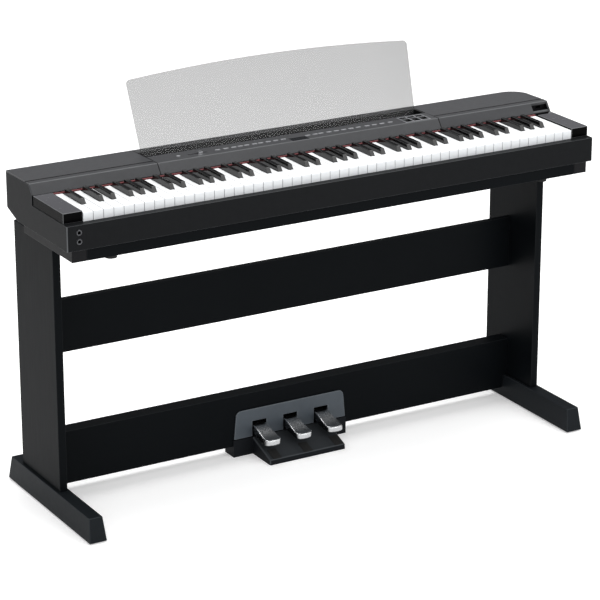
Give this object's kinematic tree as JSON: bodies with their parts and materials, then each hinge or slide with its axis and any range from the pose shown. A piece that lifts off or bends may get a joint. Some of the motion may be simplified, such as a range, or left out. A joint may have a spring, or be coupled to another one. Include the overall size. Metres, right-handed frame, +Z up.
{
  "type": "digital piano on stand",
  "caption": "Slab digital piano with full-size hinged keys, slider and button panel and clear music rest, on a panel-leg stand with cross boards and a three-pedal unit",
  "frame": {"origin": "on the floor, at the centre of the whole object's footprint", "axes": "+X to the treble end, -Y to the player, +Z up"},
  "size_m": [1.315, 0.4166, 0.9119],
  "materials": {
    "case": "satin charcoal",
    "rail": "satin dark grey",
    "laminate": "black satin laminate on particle board",
    "pads": "matte",
    "white_key": "satin gloss white",
    "black_key": "satin black",
    "felt": "red felt",
    "trim": "gloss black",
    "silver": "satin silver",
    "pedal": "satin cast metal",
    "steel": "plain",
    "clear": "clear grey",
    "board": "green circuit board",
    "jack": "black",
    "paper": "pressed cone",
    "bracket": "black paint"
  },
  "bodies": {
    "piano": {"left_foot": "laminate", "right_foot": "laminate", "foot_pads": "pads", "left_leg_panel": "laminate", "right_leg_panel": "laminate", "upper_cross_board": "laminate", "lower_cross_board": "laminate", "board_locks": "steel", "leg_brackets": "bracket", "mounting_knobs": "steel", "pedal_base": "case", "pedal_cover": "case", "pedal_axle": "steel", "pedal_springs": "steel", "heel_grip_pads": "pads", "lower_case": "rail", "bottom_board": "laminate", "bottom_end_caps": "case", "rubber_feet": "pads", "case_screws": "steel", "left_cheek_block": "case", "right_cheek_block": "case", "left_front_panel": "case", "right_front_panel": "case", "left_speaker_cover": "case", "right_speaker_cover": "case", "control_panel": "case", "display_window": "trim", "slider_frame": "silver", "key_frame": "jack", "key_pivot_rod": "steel", "key_contact_board": "board", "key_felt": "felt", "headphone_jacks": "jack", "usb_port": "jack", "rear_jack_panel": "jack", "loudspeakers": "paper", "main_circuit_board": "board"},
    "keys_a_body": {"keys_a": "white_key"},
    "keys_a_sharp_body": {"keys_a_sharp": "black_key"},
    "keys_b_body": {"keys_b": "white_key"},
    "keys_c_body": {"keys_c": "white_key"},
    "keys_c_sharp_body": {"keys_c_sharp": "black_key"},
    "keys_d_body": {"keys_d": "white_key"},
    "keys_d_sharp_body": {"keys_d_sharp": "black_key"},
    "keys_e_body": {"keys_e": "white_key"},
    "keys_f_body": {"keys_f": "white_key"},
    "keys_f_sharp_body": {"keys_f_sharp": "black_key"},
    "keys_g_body": {"keys_g": "white_key"},
    "keys_g_sharp_body": {"keys_g_sharp": "black_key"},
    "left_pedal_body": {"left_pedal": "pedal"},
    "middle_pedal_body": {"middle_pedal": "pedal"},
    "right_pedal_body": {"right_pedal": "pedal"},
    "music_rest_body": {"music_rest": "clear"},
    "panel_buttons_body": {"panel_buttons": "silver"},
    "power_button_body": {"power_button": "silver"},
    "volume_knob_body": {"volume_slider_knob": "silver"},
    "low_tone_body": {"low_tone_knob": "silver"},
    "mid_tone_body": {"mid_tone_knob": "silver"},
    "high_tone_body": {"high_tone_knob": "silver"}
  },
  "joints": [
    {"name": "keys_a_press", "type": "hinge", "parent": "piano", "child": "keys_a_body", "pos_m": [0, 0.025, 0.7046], "axis": [1, 0, 0], "range_deg": [0, 3], "stiffness_Nm_per_rad": 12, "springref_deg": -6.88},
    {"name": "keys_a_sharp_press", "type": "hinge", "parent": "piano", "child": "keys_a_sharp_body", "pos_m": [0, 0.025, 0.7046], "axis": [1, 0, 0], "range_deg": [0, 3], "stiffness_Nm_per_rad": 12, "springref_deg": -6.88},
    {"name": "keys_b_press", "type": "hinge", "parent": "piano", "child": "keys_b_body", "pos_m": [0, 0.025, 0.7046], "axis": [1, 0, 0], "range_deg": [0, 3], "stiffness_Nm_per_rad": 12, "springref_deg": -6.88},
    {"name": "keys_c_press", "type": "hinge", "parent": "piano", "child": "keys_c_body", "pos_m": [0, 0.025, 0.7046], "axis": [1, 0, 0], "range_deg": [0, 3], "stiffness_Nm_per_rad": 12, "springref_deg": -6.88},
    {"name": "keys_c_sharp_press", "type": "hinge", "parent": "piano", "child": "keys_c_sharp_body", "pos_m": [0, 0.025, 0.7046], "axis": [1, 0, 0], "range_deg": [0, 3], "stiffness_Nm_per_rad": 12, "springref_deg": -6.88},
    {"name": "keys_d_press", "type": "hinge", "parent": "piano", "child": "keys_d_body", "pos_m": [0, 0.025, 0.7046], "axis": [1, 0, 0], "range_deg": [0, 3], "stiffness_Nm_per_rad": 12, "springref_deg": -6.88},
    {"name": "keys_d_sharp_press", "type": "hinge", "parent": "piano", "child": "keys_d_sharp_body", "pos_m": [0, 0.025, 0.7046], "axis": [1, 0, 0], "range_deg": [0, 3], "stiffness_Nm_per_rad": 12, "springref_deg": -6.88},
    {"name": "keys_e_press", "type": "hinge", "parent": "piano", "child": "keys_e_body", "pos_m": [0, 0.025, 0.7046], "axis": [1, 0, 0], "range_deg": [0, 3], "stiffness_Nm_per_rad": 12, "springref_deg": -6.88},
    {"name": "keys_f_press", "type": "hinge", "parent": "piano", "child": "keys_f_body", "pos_m": [0, 0.025, 0.7046], "axis": [1, 0, 0], "range_deg": [0, 3], "stiffness_Nm_per_rad": 12, "springref_deg": -6.88},
    {"name": "keys_f_sharp_press", "type": "hinge", "parent": "piano", "child": "keys_f_sharp_body", "pos_m": [0, 0.025, 0.7046], "axis": [1, 0, 0], "range_deg": [0, 3], "stiffness_Nm_per_rad": 12, "springref_deg": -6.88},
    {"name": "keys_g_press", "type": "hinge", "parent": "piano", "child": "keys_g_body", "pos_m": [0, 0.025, 0.7046], "axis": [1, 0, 0], "range_deg": [0, 3], "stiffness_Nm_per_rad": 12, "springref_deg": -6.88},
    {"name": "keys_g_sharp_press", "type": "hinge", "parent": "piano", "child": "keys_g_sharp_body", "pos_m": [0, 0.025, 0.7046], "axis": [1, 0, 0], "range_deg": [0, 3], "stiffness_Nm_per_rad": 12, "springref_deg": -6.88},
    {"name": "left_pedal_press", "type": "hinge", "parent": "piano", "child": "left_pedal_body", "pos_m": [-0.0775, 0.086, 0.058], "axis": [1, 0, 0], "range_deg": [0, 7.5], "stiffness_Nm_per_rad": 18, "springref_deg": -6.88, "deforming": ["pedal_springs"]},
    {"name": "middle_pedal_press", "type": "hinge", "parent": "piano", "child": "middle_pedal_body", "pos_m": [0.004, 0.086, 0.058], "axis": [1, 0, 0], "range_deg": [0, 7.5], "stiffness_Nm_per_rad": 18, "springref_deg": -6.88},
    {"name": "right_pedal_press", "type": "hinge", "parent": "piano", "child": "right_pedal_body", "pos_m": [0.0855, 0.086, 0.058], "axis": [1, 0, 0], "range_deg": [0, 7.5], "stiffness_Nm_per_rad": 18, "springref_deg": -6.88},
    {"name": "music_rest_lift", "type": "slide", "parent": "piano", "child": "music_rest_body", "axis": [0, 0.3173, 0.9483], "range_m": [0, 0.16]},
    {"name": "panel_buttons_press", "type": "slide", "parent": "piano", "child": "panel_buttons_body", "axis": [0, 0, -1], "range_m": [0, 0.001], "stiffness_N_per_m": 900, "springref_m": -0.001},
    {"name": "power_button_press", "type": "slide", "parent": "piano", "child": "power_button_body", "axis": [0, 0, -1], "range_m": [0, 0.001], "stiffness_N_per_m": 600, "springref_m": -0.001},
    {"name": "volume_slide", "type": "slide", "parent": "piano", "child": "volume_knob_body", "axis": [1, 0, 0], "range_m": [-0.026, 0.016]},
    {"name": "low_tone_slide", "type": "slide", "parent": "piano", "child": "low_tone_body", "axis": [0, 1, 0], "range_m": [-0.016, 0.008]},
    {"name": "mid_tone_slide", "type": "slide", "parent": "piano", "child": "mid_tone_body", "axis": [0, 1, 0], "range_m": [-0.016, 0.008]},
    {"name": "high_tone_slide", "type": "slide", "parent": "piano", "child": "high_tone_body", "axis": [0, 1, 0], "range_m": [-0.016, 0.008]}
  ]
}
